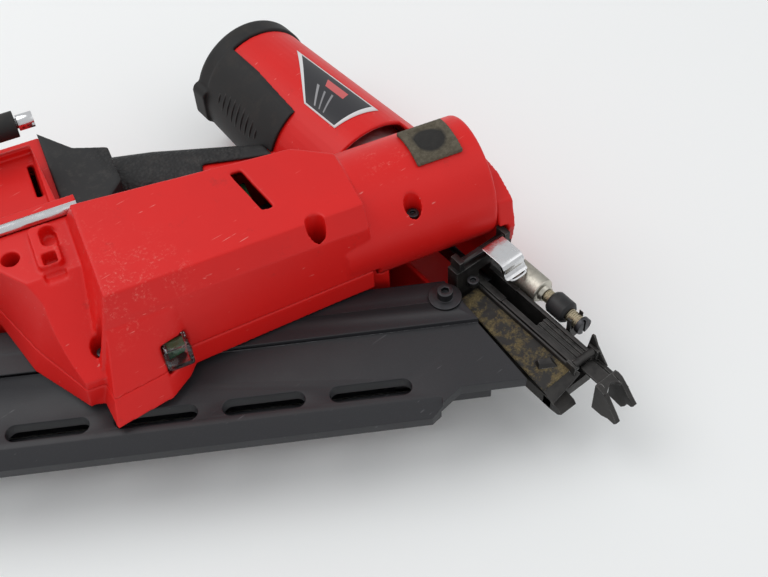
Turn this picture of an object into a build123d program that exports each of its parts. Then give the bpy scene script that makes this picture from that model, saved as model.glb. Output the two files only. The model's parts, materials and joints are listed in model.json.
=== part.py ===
"""Cordless framing nailer lying on its side, one STEP file for each physical piece.

Tool frame used while modelling, in millimetres:
  X across the drive line, away from the battery; Y along the drive line, from the nose to the end cap;
  Z across the tool, up when it lies on its side. Z = 0 is the mid-plane, and the drive line is in it.
Two tilted frames share that Z:
  the block frame (a, b) follows the motor and gear-case axis, with a pointing away from the battery;
  the magazine frame (s, n) follows the nail rail, with s pointing at the nose.
Every piece is moved at the end so that the origin is under the middle of the whole tool, on its rest plane.
"""
from build123d import *
import os
from math import cos, pi, radians, sin, tan

# ---------------------------------------------------------------- driving dimensions
CENTRE_X = -139.0          # middle of the tool across the drive line
CENTRE_Y = 176.04          # middle of the tool along the drive line
REST_Z = 42.0              # height of the mid-plane over the rest plane

BLOCK_ANGLE = -15.0        # motor axis against the X axis
DRIVE_X = -3.0             # drive line: nose, blade, piston and barrel
GEAR_Y = 142.2             # where the motor axis crosses X = 0
AXIS_Z = 40.0              # height of the motor axis over the mid-plane
DRUM_R = 34.3              # outside of the round gear case
DRUM_END = 21.0            # end of the round gear case, along the block axis
WALL = 2.6                 # plastic wall
BLOCK_TOP = 80.0           # highest point of the motor block
SEAM_Z = 30.0              # joint between the motor cover and the clamshell
SKIRT_Z = 16.2             # underside of the block where it passes over the magazine

BARREL_R = (42.2, 37.2)    # at the gear-case end and at the cap
BARREL_Y = (184.0, 318.0)
CAP_END = 334.0
FLAT_Z = -39.6             # flat along the lower side of the barrel
SLEEVE_BORE = 22.0
VESSEL_R = 33.5

PISTON_Y = 289.6           # underside of the piston at the top of its stroke
PIN_ANGLE = 24.5           # between lifter pins
PIN_COUNT = 9
PIN_CIRCLE = 27.0
PIN_R = 2.5
TOOTH_PITCH = radians(PIN_ANGLE) * PIN_CIRCLE * cos(radians(BLOCK_ANGLE))
DISC_R = 30.0

GEAR_MODULE = 0.8
SUN_TEETH, PLANET_TEETH, RING_TEETH = 12, 18, 48
PLANET_ORBIT = GEAR_MODULE * (SUN_TEETH + PLANET_TEETH) / 2

MAG_ANGLE = -32.0          # nail rail against the X axis
MAG_HALF = 12.0            # half thickness of the main magazine plate
RIB_TOP = 15.0             # raised upper band of the magazine
MAG_TAIL = -352.0
SLOT_PITCH = 54.5          # windows that show the nails
SLOT_LENGTH = 42.0
SLOT_FIRST = -125.0

# cover screws: place along and across the block axis, radius of the well, and height of its floor
SCREW_WELLS = ((-79, -26.5, 5.0, 50), (-25.5, -25.5, 4.6, 53), (-197, -29, 5.0, 36), (-224, 25.5, 4.8, 52))
MAG_SCREW = (-34.4, 94.7)  # X and Y of the screw that holds the magazine to the nose

ADJUST = (13.8, 10.5)      # depth-adjuster axis: X from the drive line, and Z
DOOR_PIVOT = (21.5, 10.2)  # Y and Z of the nose door's pin
LATCH_PIVOT = (100.6, 25.6)  # Y and Z of the latch pin

MODE_BUTTON = (-236.0, 92.0)  # place of the fire-mode button on the foot, in the block frame
HANDLE_V = 16.0            # half width of the handle core
HANDLE_HALF = 15.0
HANDLE_BEND = -16.0        # where the taper begins, along the handle
HANDLE_TAPER = 0.095
FOOT_END = -252.0          # end of the foot that carries the battery rails
# outline of the foot's lower half in the block frame
FOOT = ((FOOT_END, 44), (FOOT_END, 148), (-192, 148), (-176, 126), (-158, 118), (-158, 90), (-176, 70),
        (-192, 44))

BLOCK = Pos(0, GEAR_Y, 0) * Rot(0, 0, BLOCK_ANGLE)
GEARS = BLOCK * Pos(DRIVE_X / cos(radians(BLOCK_ANGLE)), 0, 0)
DRIVE = Pos(DRIVE_X, 0, 0)
MESH_Y = GEAR_Y + DRIVE_X * tan(radians(BLOCK_ANGLE))
MAGAZINE = Rot(0, 0, MAG_ANGLE)
HANDLE = BLOCK * Pos(-120, 104, 0) * Rot(0, 0, BLOCK_ANGLE)
TRIGGER = HANDLE * Pos(126, -88, 0)
DOCK = BLOCK * Pos(-30, 0, 0)
PLACE = Pos(-CENTRE_X, -CENTRE_Y, REST_Z)

parts = {}


# ---------------------------------------------------------------- shape helpers
def bar(x, y, z):
    """Box from three (low, high) spans."""
    middle = Pos((x[0] + x[1]) / 2, (y[0] + y[1]) / 2, (z[0] + z[1]) / 2)
    return middle * Box(x[1] - x[0], y[1] - y[0], z[1] - z[0])


def prism(points, z):
    """Upright prism over an outline, between two heights."""
    return Pos(0, 0, z[0]) * extrude(make_face(Polyline(*points, close=True)), amount=z[1] - z[0])


def shaft(axis, span, radius, at=(0, 0)):
    """Cylinder along X, Y or Z; at holds the other two coordinates in X, Y, Z order."""
    middle = (span[0] + span[1]) / 2
    length = span[1] - span[0]
    if axis == "X":
        return Pos(middle, at[0], at[1]) * Rot(0, 90, 0) * Cylinder(radius, length)
    if axis == "Y":
        return Pos(at[0], middle, at[1]) * Rot(90, 0, 0) * Cylinder(radius, length)
    return Pos(at[0], at[1], middle) * Cylinder(radius, length)


def cone_y(grow, span):
    """Tapered barrel solid, larger or smaller than the barrel's outside by grow."""
    slope = (BARREL_R[1] - BARREL_R[0]) / (BARREL_Y[1] - BARREL_Y[0])
    wide, narrow = (BARREL_R[0] + grow + slope * (y - BARREL_Y[0]) for y in span)
    return Pos(DRIVE_X, (span[0] + span[1]) / 2, 0) * Rot(-90, 0, 0) * Cone(wide, narrow, span[1] - span[0])


def pipe(axis, span, outer, inner, at=(0, 0)):
    return shaft(axis, span, outer, at) - shaft(axis, span, inner, at)


def slot_z(length, width, z):
    """Round-ended slot along X, upright."""
    return Pos(0, 0, z[0]) * extrude(SlotOverall(length, width), amount=z[1] - z[0])


def rounded_bar(x, y, z, radius, axis=Axis.Z):
    """Box with the edges along one axis rounded."""
    box = bar(x, y, z)
    return fillet(box.edges().filter_by(axis), radius)


def soft_bar(x, y, z, radius, top):
    """Box with rounded upright edges and a rounded upper rim."""
    box = rounded_bar(x, y, z, radius)
    return fillet(box.faces().sort_by(Axis.Z)[-1].edges(), top)


def section_loft(sections):
    """Solid through outlines of (b, z) points, each at its own place along the block axis."""
    faces = []
    for a, points in sections:
        plane = Plane(origin=(a, 0, 0), x_dir=(0, 1, 0), z_dir=(1, 0, 0))
        faces.append(plane * make_face(Polyline(*points, close=True)))
    return loft(faces, ruled=True)


def gear_outline(teeth, tip, root, land, phase=0.0):
    """Straight-flanked gear outline: land is the tooth's share of the pitch at the tip."""
    points = []
    for tooth in range(teeth):
        middle = 2 * pi * tooth / teeth + radians(phase)
        half_tip = land * pi / teeth
        half_root = (land + 0.3) * pi / teeth
        corners = ((root, -half_root), (tip, -half_tip), (tip, half_tip), (root, half_root))
        points += [(r * cos(middle + t), r * sin(middle + t)) for r, t in corners]
    return make_face(Polyline(*points, close=True))


def along_block_axis(outline, span, b=0.0, z=AXIS_Z):
    """Extrude an outline along the block axis."""
    plane = Plane(origin=(span[0], b, z), x_dir=(0, 1, 0), z_dir=(1, 0, 0))
    return extrude(plane * outline, amount=span[1] - span[0])


def add(name, shape):
    parts[name] = shape


# ---------------------------------------------------------------- red housings
def block_sections(inset):
    """Motor block sections, with the walls moved in by the inset."""
    near = -52.0 - inset
    middle = -72.0
    far = -212.0 + inset
    end = [(-33, 12), (-33, 30), (-31, 62), (-25, 75), (14, 75.2), (24, 66), (31, 30), (31, 12)]
    right = [(-34, 12), (-34, 30), (-32, 64), (-26, 76), (26, 77), (33, 64), (35, 30), (35, 12)]
    left = [(-44, 12), (-41, 30), (-35, 65), (-31, 80), (37, 80), (42, 66), (44, 30), (44, 12)]
    moved = []
    for a, outline in ((near, end), (middle, right), (far, left)):
        points = []
        for b, z in outline:
            side = inset if b < 0 else -inset
            lift = -inset if z > 74 else 0
            points.append((b + side, z + lift))
        moved.append((a, points))
    return moved


def end_slope(inset):
    """Everything behind the sloping rear face of the block."""
    top = -187.0 + inset
    low = -209.0 + inset
    outline = [(top, BLOCK_TOP + 1), (low, 12), (-260, 12), (-260, BLOCK_TOP + 1)]
    plane = Plane(origin=(0, 80, 0), x_dir=(1, 0, 0), z_dir=(0, -1, 0))
    return extrude(plane * make_face(Polyline(*outline, close=True)), amount=160)


def motor_block():
    outer = section_loft(block_sections(0.0)) - end_slope(0.0)
    drum = shaft("X", (-66, DRUM_END), DRUM_R, (0, AXIS_Z))
    return outer + fillet(drum.edges().sort_by(Axis.X)[-1], 2.4)


def motor_block_space():
    space = section_loft(block_sections(WALL)) - end_slope(WALL)
    space += shaft("X", (-66, DRUM_END - WALL), DRUM_R - WALL, (0, AXIS_Z))
    return space


def handle_core(extra, span=(-85.0, 92.0), radius=9.0):
    """Handle body with rounded edges; the side away from the block tapers towards the barrel."""
    faces = []
    for u in (span[0], HANDLE_BEND, span[1]):
        far = HANDLE_V - HANDLE_TAPER * max(0.0, u - HANDLE_BEND)
        plane = Plane(origin=(u, (far - HANDLE_V) / 2, 0), x_dir=(0, 1, 0), z_dir=(1, 0, 0))
        faces.append(plane * RectangleRounded(far + HANDLE_V + 2 * extra, 2 * (HANDLE_HALF + extra), radius))
    return loft(faces, ruled=True)


def lamp_bulge(inset):
    """Wedge on the near wall that carries the headlight, deepest where the block ends."""
    low = [(-206 + inset, -30), (-203 + inset, -61 + 1.5 * inset), (-172 + inset / 2, -55 + 1.5 * inset),
           (-160, -46 + 1.3 * inset), (-150 - inset, -33)]
    high = [(-193 + inset, -30), (-192 + inset, -36 + inset), (-172, -35.5 + inset), (-160, -35 + inset),
            (-150 - inset, -33 + inset / 4)]
    levels = ((SKIRT_Z + inset, low), (60 - inset, high))
    return loft([Pos(0, 0, z) * make_face(Polyline(*outline, close=True)) for z, outline in levels], ruled=True)


def foot_tower():
    """Raised foot behind the block: a flared shoulder, then a lower deck beside the handle."""
    low = [(FOOT_END, 56), (FOOT_END, 42), (-244, 33), (-233, -8), (-212, -42), (-184, -42), (-184, 56)]
    top = [(FOOT_END, 56), (FOOT_END, 42), (-231, 20), (-213, -4), (-206, -42), (-184, -42), (-184, 56)]
    levels = ((SKIRT_Z, low), (66, top))
    faces = [Pos(0, 0, z) * make_face(Polyline(*outline, close=True)) for z, outline in levels]
    shoulder = loft(faces, ruled=True)
    plane = Plane(origin=(-262, 0, 0), x_dir=(0, 1, 0), z_dir=(1, 0, 0))
    slope = plane * make_face(Polyline((6, 66), (-60, 24), (-60, 90), (6, 90), close=True))
    shoulder -= extrude(slope, amount=90)
    shoulder += rounded_bar((-212, -199.5), (9, 38), (60, 70), 3)
    deck = prism([(FOOT_END, 50), (-192, 50), (-197, 124), (FOOT_END, 124)], (0, 48))
    return shoulder + deck


def foot_tower_space():
    outline = [(-243, 38), (-229, 24), (-210, 1), (-194, 1), (-194, 38)]
    shoulder = prism(outline, (SKIRT_Z + WALL, 58))
    shoulder += prism([(-208, 3), (-204, -36), (-190, -36), (-190, 3)], (SKIRT_Z + WALL, 32))
    deck = bar((FOOT_END + 3, -200), (60, 120), (WALL, 41.6))
    return shoulder + deck


def screw_bosses(grow, lift):
    """One post for each cover screw: the well itself, or the boss around it when grown."""
    posts = Part()
    for a, b, radius, floor in SCREW_WELLS:
        posts += shaft("Z", (floor + lift, 90), radius + grow, (a, b))
    return posts


def cover_cuts():
    """Vent, screw wells, hook groove and pockets in the motor cover."""
    cuts = prism([(-107, 22.5), (-101, 22.5), (-94, -8.5), (-100, -8.5)], (70, 90))
    cuts += screw_bosses(0, 0)
    cuts += shaft("X", (-260, -180), 3.4, (45, 67.5))
    cuts += bar((-260, -180), (41.6, 48.4), (67.5, 80))
    cuts += Pos(-203, 29, 0) * Rot(0, 0, 90) * slot_z(14, 8, (62.5, 80))
    cuts += bar((-209, -202), (10, 18), (62.5, 80))
    cuts += bar((-211, -200), (-9, 8), (63.5, 80))
    cuts += bar((FOOT_END + 4, -197.5), (60, 121), (44, 60))
    cuts += bar((-202.6, -199), (85, 112), (38, 60))
    cuts += shaft("Z", (38, 60), 5.6, MODE_BUTTON)
    return cuts


def clamshell():
    """Whole lower body: barrel, neck, handle, foot and the body between magazine and handle."""
    outer = cone_y(0, BARREL_Y) & bar((-60, 60), BARREL_Y, (FLAT_Z, 60))
    outer += bar((-28, 24), (106, 196), (-38, 5))
    low_body = [(FOOT_END, 34), (-222, 25), (-50, -27.5), (-42, -30), (-34, 34), (FOOT_END, 47)]
    outer += BLOCK * prism(low_body, (-38, SEAM_Z))
    outer += BLOCK * prism(FOOT, (-38, SEAM_Z))
    outer += HANDLE * handle_core(0)
    return outer


def clamshell_space():
    space = cone_y(-WALL, (BARREL_Y[0] - 10, BARREL_Y[1] + 1)) & bar((-60, 60), (170, 320), (FLAT_Z + WALL, 60))
    space += bar((-25, 21), (103, 200), (-35, 60))
    low_body = [(-249, 37.5), (-219, 28.5), (-50, -23.5), (-40, -26), (-34, 31), (-249, 44)]
    space += BLOCK * prism(low_body, (-35, SEAM_Z + 1))
    foot = [(-249, 47), (-249, 145), (-194, 145), (-178.5, 123), (-161, 115), (-161, 93), (-178.5, 73),
            (-194, 47)]
    space += BLOCK * prism(foot, (-35, SEAM_Z - WALL))
    space += HANDLE * bar((-80, 20), (WALL - HANDLE_V, 9.6), (-12.4, 12.4))
    space += HANDLE * bar((15, 84), (WALL - HANDLE_V, 3.4), (-12.4, 12.4))
    return space


def housings():
    block = motor_block()
    block_space = motor_block_space()
    above_seam = bar((-270, 60), (-90, 190), (SEAM_Z, 120))
    drum = block & bar((-48, 60), (-60, 60), (15, 120))
    cover = ((block + foot_tower() + lamp_bulge(0)) & above_seam) + drum
    cover -= block_space + foot_tower_space()
    cover -= lamp_bulge(WALL)
    cover += screw_bosses(1.8, -2.5) & (block + foot_tower())
    cover -= cover_cuts() + lens_window()
    cover -= bar((-48, 60), (-12, 12), (0, 20))
    cover = max(cover.solids(), key=lambda solid: solid.volume)

    skirt = block & bar((-260, -52), (-90, 90), (SKIRT_Z, SEAM_Z))
    skirt += lamp_bulge(0) & bar((-270, -52), (-90, 90), (SKIRT_Z, SEAM_Z))
    skirt += foot_tower() & bar((-270, -150), (-90, 190), (SKIRT_Z, SEAM_Z))
    skirt_space = block_space + foot_tower_space()
    skirt_space &= bar((-260, -48), (-90, 190), (SKIRT_Z + WALL, SEAM_Z + 1))
    bulge_space = lamp_bulge(WALL) & bar((-270, -52), (-90, 90), (SKIRT_Z, SEAM_Z + 1))
    body = clamshell()
    space = clamshell_space()
    drum_room = BLOCK * shaft("X", (-48.4, 34), DRUM_R + 0.1, (0, AXIS_Z))
    magazine_room = MAGAZINE * bar((-400, -20), (-20, 75), (-30, SKIRT_Z - 0.2))
    shell = body + BLOCK * skirt
    shell -= space + BLOCK * skirt_space
    shell -= BLOCK * bulge_space
    shell -= drum_room + magazine_room
    shell -= BLOCK * lens_window() + TRIGGER * trigger_window()
    shell -= DOCK * bar((-223, -218), (79.4, 112.6), (-15.6, 15.6))
    shell -= BLOCK * (bar((-48.4, 34), (-36, 36), (12, 80)) & drum_room.moved(BLOCK.inverse()))
    right = shell & bar((-300, 80), (60, 400), (0, 100))
    left = shell & bar((-300, 80), (60, 400), (-100, 0))
    add("motor_cover", BLOCK * cover)
    add("housing_right", max(right.solids(), key=lambda solid: solid.volume))
    add("housing_left", max(left.solids(), key=lambda solid: solid.volume))


def trigger_window():
    return bar((-111, -66), (60, 84), (-7.4, 7.4))


def lens_window():
    return bar((-170.3, -155.7), (-70, -36), (26.7, 43.3))


def covers():
    """End cap, drum flange and rubber guards."""
    start = BARREL_Y[1] + 0.2
    dome = fillet(shaft("Y", (start, CAP_END), 38.6).faces().sort_by(Axis.Y)[-1].edges(), 6)
    dome += rounded_bar((-41, -20), (start, CAP_END - 3), (-12, 14), 5, Axis.Y)
    dome += rounded_bar((-14, 14), (start, CAP_END - 3), (-REST_Z, -20), 4, Axis.Y)
    dome -= shaft("Y", (start - 1, CAP_END - 4), 34)
    guard = cone_y(2.0, (246, start + 1)) - cone_y(0.1, (240, start + 6))
    guard &= bar((-60, DRIVE_X - 14), (240, 330), (-28, 36))
    guard -= HANDLE * handle_core(0.3)
    add("barrel_end_cap", max((DRIVE * dome + guard).solids(), key=lambda solid: solid.volume))

    outline = Polyline((-32, 6), (-36, 29), (-31, 46), (-14, 50), (14, 46), (27, 30), (27, 6), close=True)
    flange = along_block_axis(make_face(outline), (DRUM_END + 0.2, DRUM_END + 9.6), 0, 0)
    nose_room = bar((-30, 16.4), (90, 106.6), (-25, 31))
    add("gear_case_flange", BLOCK * fillet(flange.edges().filter_by(Axis.X), 3) - nose_room)

    saddle = pipe("X", (-16, 10), DRUM_R + 2.6, DRUM_R + 0.1, (0, AXIS_Z))
    saddle &= bar((-16, 10), (-12, 16), (60, 80))
    saddle -= pipe("X", (-11, 5), DRUM_R + 3, DRUM_R + 1.2, (0, AXIS_Z)) & bar((-11, 5), (-8, 12), (60, 80))
    lower = rounded_bar((-50, -4), (-8, 28), (-REST_Z, -38.1), 6)
    add("no_mar_pads", BLOCK * (saddle + lower))


def handle_grips():
    ring = handle_core(2.4, (-60.0, 60.0), 11.0)
    grip = HANDLE * (ring - handle_core(0)) - TRIGGER * bar((-112, -60), (60, 84), (-20, 20))
    grip -= cone_y(2.6, (150, 360)) + BLOCK * prism(FOOT, (-38.2, SEAM_Z + 0.05))
    right = grip & bar((-250, 50), (100, 400), (0.05, 30))
    left = grip & bar((-250, 50), (100, 400), (-30, -0.05))
    add("grip_left", max(left.solids(), key=lambda solid: solid.volume))
    flare = prism([(-191.8, 149), (-175, 127.5), (-156, 119), (-156, 89), (-175, 68.6), (-191.8, 60)], (20, 33))
    flare -= prism(FOOT, (0, SEAM_Z + 0.05))
    flare = max((BLOCK * flare - HANDLE * handle_core(0)).solids(), key=lambda solid: solid.volume)
    add("grip_right", Part() + max(right.solids(), key=lambda solid: solid.volume) + flare)


# ---------------------------------------------------------------- gas spring and driver
def gas_spring():
    vessel = shaft("Y", (188, 313), VESSEL_R) - shaft("Y", (191, 310), VESSEL_R - 2.5)
    vessel -= shaft("Y", (180, 195), SLEEVE_BORE + 2.5)
    vessel -= shaft("Y", (308, 315), 3)
    add("pressure_vessel", DRIVE * vessel)
    add("cylinder_sleeve", DRIVE * pipe("Y", (187, 305), SLEEVE_BORE + 2.5, SLEEVE_BORE))
    add("fill_valve", DRIVE * (shaft("Y", (306, 318), 3) + shaft("Y", (313, 317), 5)))
    add("bumper", DRIVE * pipe("Y", (188, 199.6), SLEEVE_BORE - 0.05, 14.6))

    seal = (PISTON_Y + 4.6, PISTON_Y + 7.6)
    piston = shaft("Y", (PISTON_Y, PISTON_Y + 13), SLEEVE_BORE - 0.3) - pipe("Y", seal, 25, 19.6)
    add("piston", DRIVE * piston)
    add("piston_seal", DRIVE * pipe("Y", seal, SLEEVE_BORE - 0.06, 19.6))
    blade = bar((-2, 2), (94, PISTON_Y), (-5.5, 5.5))
    thickness = TOOTH_PITCH - 2 * PIN_R - 2.6
    for number in range(PIN_COUNT):
        middle = MESH_Y + (number + 0.5) * TOOTH_PITCH
        blade += bar((-3, 3), (middle - thickness / 2, middle + thickness / 2), (4, 13.2))
    add("driver_blade", DRIVE * blade)


def lifter():
    """Two discs on a hub with pins between them, which lift the toothed driver."""
    wheel = shaft("X", (7.6, 12), DISC_R, (0, AXIS_Z)) + shaft("X", (-12, -7.6), DISC_R, (0, AXIS_Z))
    wheel += shaft("X", (-12, 12), 10, (0, AXIS_Z))
    wheel -= shaft("X", (-15, 15), 6, (0, AXIS_Z))
    pins = Part()
    for number in range(PIN_COUNT):
        angle = radians(PIN_ANGLE * number)
        place = (PIN_CIRCLE * sin(angle), AXIS_Z - PIN_CIRCLE * cos(angle))
        pins += shaft("X", (-12.5, 12.5), PIN_R, place)
    wheel -= pins
    add("lifter_wheel", GEARS * wheel)
    add("lifter_pins", GEARS * pins)
    plate = shaft("X", (14.6, 20), DRUM_R - WALL - 0.1, (0, AXIS_Z)) - shaft("X", (14, 21), 11, (0, AXIS_Z))
    plate -= bar((14, 21), (-31, 31), (0, 14))
    flange = shaft("X", (-24, -15), DRUM_R - WALL - 0.1, (0, AXIS_Z))
    flange -= shaft("X", (-25, -14), 12, (0, AXIS_Z)) + bar((-25, -14), (-31, 31), (0, 14))
    bells = pipe("X", (-72, -67), 20.8, 7, (0, AXIS_Z)) + pipe("X", (-149, -144), 20.8, 7, (0, AXIS_Z))
    add("bearing_plates", GEARS * (plate + flange + bells) - BLOCK * screw_bosses(2.2, -4))
    bearings = pipe("X", (14.6, 20), 11, 6.05, (0, AXIS_Z)) + pipe("X", (-23, -16), 12, 6.05, (0, AXIS_Z))
    bearings += pipe("X", (-72, -67), 7, 2.55, (0, AXIS_Z)) + pipe("X", (-149, -144), 7, 2.55, (0, AXIS_Z))
    add("ball_bearings", GEARS * bearings)


def planetary():
    module = GEAR_MODULE
    sun_r, planet_r, ring_r = (module * teeth / 2 for teeth in (SUN_TEETH, PLANET_TEETH, RING_TEETH))
    span = (-49, -31)
    sun = gear_outline(SUN_TEETH, sun_r + 0.6, sun_r - 0.95, 0.25)
    add("motor_pinion", GEARS * (along_block_axis(sun, span) - shaft("X", (-50, -30), 2.5, (0, AXIS_Z))))
    planet = gear_outline(PLANET_TEETH, planet_r + 0.6, planet_r - 0.95, 0.25, 180 / PLANET_TEETH)
    planet_gear = along_block_axis(planet, span, PLANET_ORBIT)
    planet_gear -= shaft("X", (-50, -30), 2.06, (PLANET_ORBIT, AXIS_Z))
    room = gear_outline(RING_TEETH, ring_r + 1.0, ring_r - 0.6, 0.42, 180 / RING_TEETH)
    ring = shaft("X", (-50, -24), 24, (0, AXIS_Z)) - along_block_axis(room, (-51, -30.8))
    ring -= shaft("X", (-31, -23), 19, (0, AXIS_Z))
    add("ring_gear", GEARS * ring)
    carrier = shaft("X", (-30.6, -25), 16.5, (0, AXIS_Z)) + shaft("X", (-25, 20.5), 6, (0, AXIS_Z))
    for number in range(3):
        turn = Pos(0, 0, AXIS_Z) * Rot(120 * number, 0, 0) * Pos(0, 0, -AXIS_Z)
        add(f"planet_gear_{number + 1}", GEARS * turn * planet_gear)
        carrier += turn * shaft("X", (-48.5, -30.6), 2, (PLANET_ORBIT, AXIS_Z))
    add("planet_carrier", GEARS * carrier)


def motor():
    stator = pipe("X", (-125, -80), 21, 12.8, (0, AXIS_Z))
    for number in range(6):
        turn = Pos(0, 0, AXIS_Z) * Rot(60 * number, 0, 0) * Pos(0, 0, -AXIS_Z)
        stator -= turn * bar((-126, -79), (14.5, 18.5), (AXIS_Z - 4, AXIS_Z + 4))
    add("stator_core", GEARS * stator)
    coils = pipe("X", (-131, -125), 19.5, 13.4, (0, AXIS_Z)) + pipe("X", (-80, -74), 19.5, 13.4, (0, AXIS_Z))
    add("stator_windings", GEARS * coils)
    rotor = shaft("X", (-125, -80), 12.4, (0, AXIS_Z)) + shaft("X", (-149, -31), 2.5, (0, AXIS_Z))
    add("rotor", GEARS * rotor)
    fan = pipe("X", (-141, -139.5), 18.5, 2.5, (0, AXIS_Z)) + pipe("X", (-141, -133), 6, 2.5, (0, AXIS_Z))
    for number in range(11):
        turn = Pos(0, 0, AXIS_Z) * Rot(360 / 11 * number, 0, 0) * Pos(0, 0, -AXIS_Z)
        fan += turn * bar((-139.6, -134), (5.5, 18), (AXIS_Z - 0.6, AXIS_Z + 0.6))
    add("cooling_fan", GEARS * fan)


def electronics():
    board = bar((-176, -100), (-22, 24), (64, 65.8)) + bar((-170, -150), (-16, 6), (65.8, 74))
    board += shaft("Z", (65.8, 74), 5, (-140, 12)) + shaft("Z", (65.8, 74), 5, (-126, 12))
    lens = rounded_bar((-170, -156), (-46.6, -37), (27, 43), 2, Axis.Y)
    add("headlight_lens", BLOCK * (lens - bar((-168, -158), (-44.6, -36), (29, 41))))
    lamp = bar((-167.6, -158.4), (-40, -38.4), (29.4, 40.6)) + bar((-165, -161), (-42, -40), (33, 37))
    add("control_boards", BLOCK * (board + lamp))
    rail = bar((-226, -222.1), (52, 131), (-20, 20)) + bar((-229, -226), (52, 131), (-26, 26))
    rail -= bar((-230, -221), (80, 112), (-15, 15))
    block = bar((-226, -219.1), (80, 112), (-15, 15))
    for level in (-10, 0, 10):
        block += bar((-234, -226), (84, 106), (level - 0.5, level + 0.5))
    add("battery_dock", DOCK * (rail + block))


def battery():
    """Slide-on pack: two case halves, ten cells and a release button on each side."""
    low, high = -REST_Z, 40.0
    base = rounded_bar((-262, -223), (47, 146), (low, high), 7, Axis.X)
    cover = rounded_bar((-286, -262), (47, 146), (low, high), 7, Axis.X)
    cover = fillet(cover.faces().sort_by(Axis.X)[0].edges(), 5)
    base -= bar((-263, -238), (50, 143), (low + 3, high - 3))
    cover -= bar((-283, -261), (50, 143), (low + 3, high - 3))
    groove = bar((-226.6, -222), (40, 133), (-20.6, 20.6)) + bar((-229.6, -225.6), (40, 133), (-26.6, 26.6))
    blades = bar((-239, -222), (40, 114), (-15.6, 15.6))
    base -= groove + blades
    for side in (low, high):
        base -= bar((-243, -229), (84, 116), (side - 10, side + 10))
    add("battery_base", DOCK * base)
    add("battery_cover", DOCK * cover)
    cells = Part()
    for row in (-252, -272):
        for number in range(5):
            cells += shaft("Z", (-32.5, 32.5), 9.0, (row, 60 + 18.25 * number))
    add("battery_cells", DOCK * cells)
    inner = bar((-242.6, -229.4), (84.4, 115.6), (high - 5.8, high - 0.2))
    add("battery_button_right", DOCK * fillet(inner.faces().sort_by(Axis.Z)[-1].edges(), 1.5))
    outer = bar((-242.6, -229.4), (84.4, 115.6), (low + 1, low + 5.8))
    add("battery_button_left", DOCK * fillet(outer.faces().sort_by(Axis.Z)[0].edges(), 1.5))


# ---------------------------------------------------------------- nose
def tooth_slot():
    """Room for the driver's teeth in the nose door and in the fixed cover behind it."""
    return bar((-3.5, 3.5), (53, 105), (7, 20))


def nose():
    body = bar((-20, 19), (98, 105.8), (-22, 22))
    body += bar((-23, 6.4), (20, 98), (-14, -6.2))
    body += bar((4.2, 6.4), (20, 98), (-6.2, 7.4))
    body += bar((-7.6, -4.2), (20, 98), (5.4, 7.4))
    body += bar((-43, -21), (86, 105.8), (-19, -12.4))
    body -= bar((-4.2, 4.2), (90, 110), (-6.2, 14.2))
    body -= shaft("Y", (90, 110), 1.66, ADJUST) + DRIVE.inverse() * shaft("Z", (-20, -10), 2.55, MAG_SCREW)
    body += bar((-7.6, 6.4), (76.4, 98.5), (7.4, 10)) - tooth_slot()
    add("nosepiece", DRIVE * body)
    door = bar((-7.4, 6.2), (23, 76), (7.7, 10.2)) + shaft("X", (-7.4, 6.2), 2.2, DOOR_PIVOT)
    door -= shaft("X", (-10, 10), 1.05, DOOR_PIVOT) + tooth_slot()
    add("nose_door", DRIVE * door)
    hinges = bar((-9.4, -7.8), (18.4, 25), (5, 12)) + bar((6.6, 8.2), (18.4, 25), (5, 12))
    hinges += shaft("X", (-9.4, 8.2), 1, DOOR_PIVOT) + shaft("X", (-18, 18), 1.5, LATCH_PIVOT)
    hinges += bar((-18, -14.4), (98, 105.8), (22, 29)) + bar((14.6, 18), (98, 105.8), (22, 29))
    add("nose_hinges", DRIVE * hinges)
    lever = bar((-1, 14), (83, 102), (25.4, 27.4)) + bar((-1, 14), (82, 84), (18.2, 27.4))
    lever += bar((-14, 1), (98.4, 102.6), (23.8, 27.4)) + shaft("X", (-1, 14), 2.4, LATCH_PIVOT)
    lever -= shaft("X", (-30, 30), 1.56, LATCH_PIVOT)
    bail = bar((0, 1.6), (79, 83), (18.4, 20)) + bar((11.4, 13), (79, 83), (18.4, 20))
    bail += bar((0, 13), (77.4, 79), (18.4, 20))
    add("nose_latch", DRIVE * (lever + bail))


def contact_arm():
    """Tip, side plate, threaded stud and rubber sleeve on the arm that the work presses back."""
    tip = bar((-7.4, 7.4), (-5, 6.2), (-11, 10)) - bar((-4.3, 4.3), (-20, 10), (-6.3, 6.3))
    for x in (-7.4, 4.3):
        for z in (-11, 3.4):
            claw = Polyline((x, -5), (x + 3.1, -5), (x + 1.5, -11.8), close=True)
            tip += Pos(0, 0, z) * extrude(make_face(claw), amount=6.6)
    tip += bar((6.7, 8.8), (-5, 43), (-6, 4.2))
    bracket = bar((8.6, 18), (40, 43), (-2, 15)) - shaft("Y", (35, 45), 3.5, ADJUST)
    add("contact_tip", DRIVE * (tip + bracket))
    stud = shaft("Y", (36, 79), 3.5, ADJUST) + shaft("Y", (35, 38), 5, ADJUST)
    slot = bar((ADJUST[0] - 0.6, ADJUST[0] + 0.6), (34, 36.4), (0, 20))
    add("adjuster_stud", DRIVE * (stud - slot))
    add("adjuster_sleeve", DRIVE * pipe("Y", (46, 59), 6.6, 3.5, ADJUST))
    knurl = fillet(shaft("Y", (66, 87.6), 7.2, ADJUST).edges(), 0.8)
    knurl += shaft("Y", (63.4, 66.5), 4.6, ADJUST)
    knurl -= shaft("Y", (60, 86), 3.56, ADJUST) + shaft("Y", (85, 89), 1.66, ADJUST)
    add("depth_wheel", DRIVE * knurl)
    link = shaft("Y", (84.4, 106), 1.6, ADJUST) + shaft("Y", (87.9, 89.6), 5, ADJUST)
    link += shaft("Y", (84.4, 85.8), 3, ADJUST)
    add("contact_link", DRIVE * link)


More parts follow.
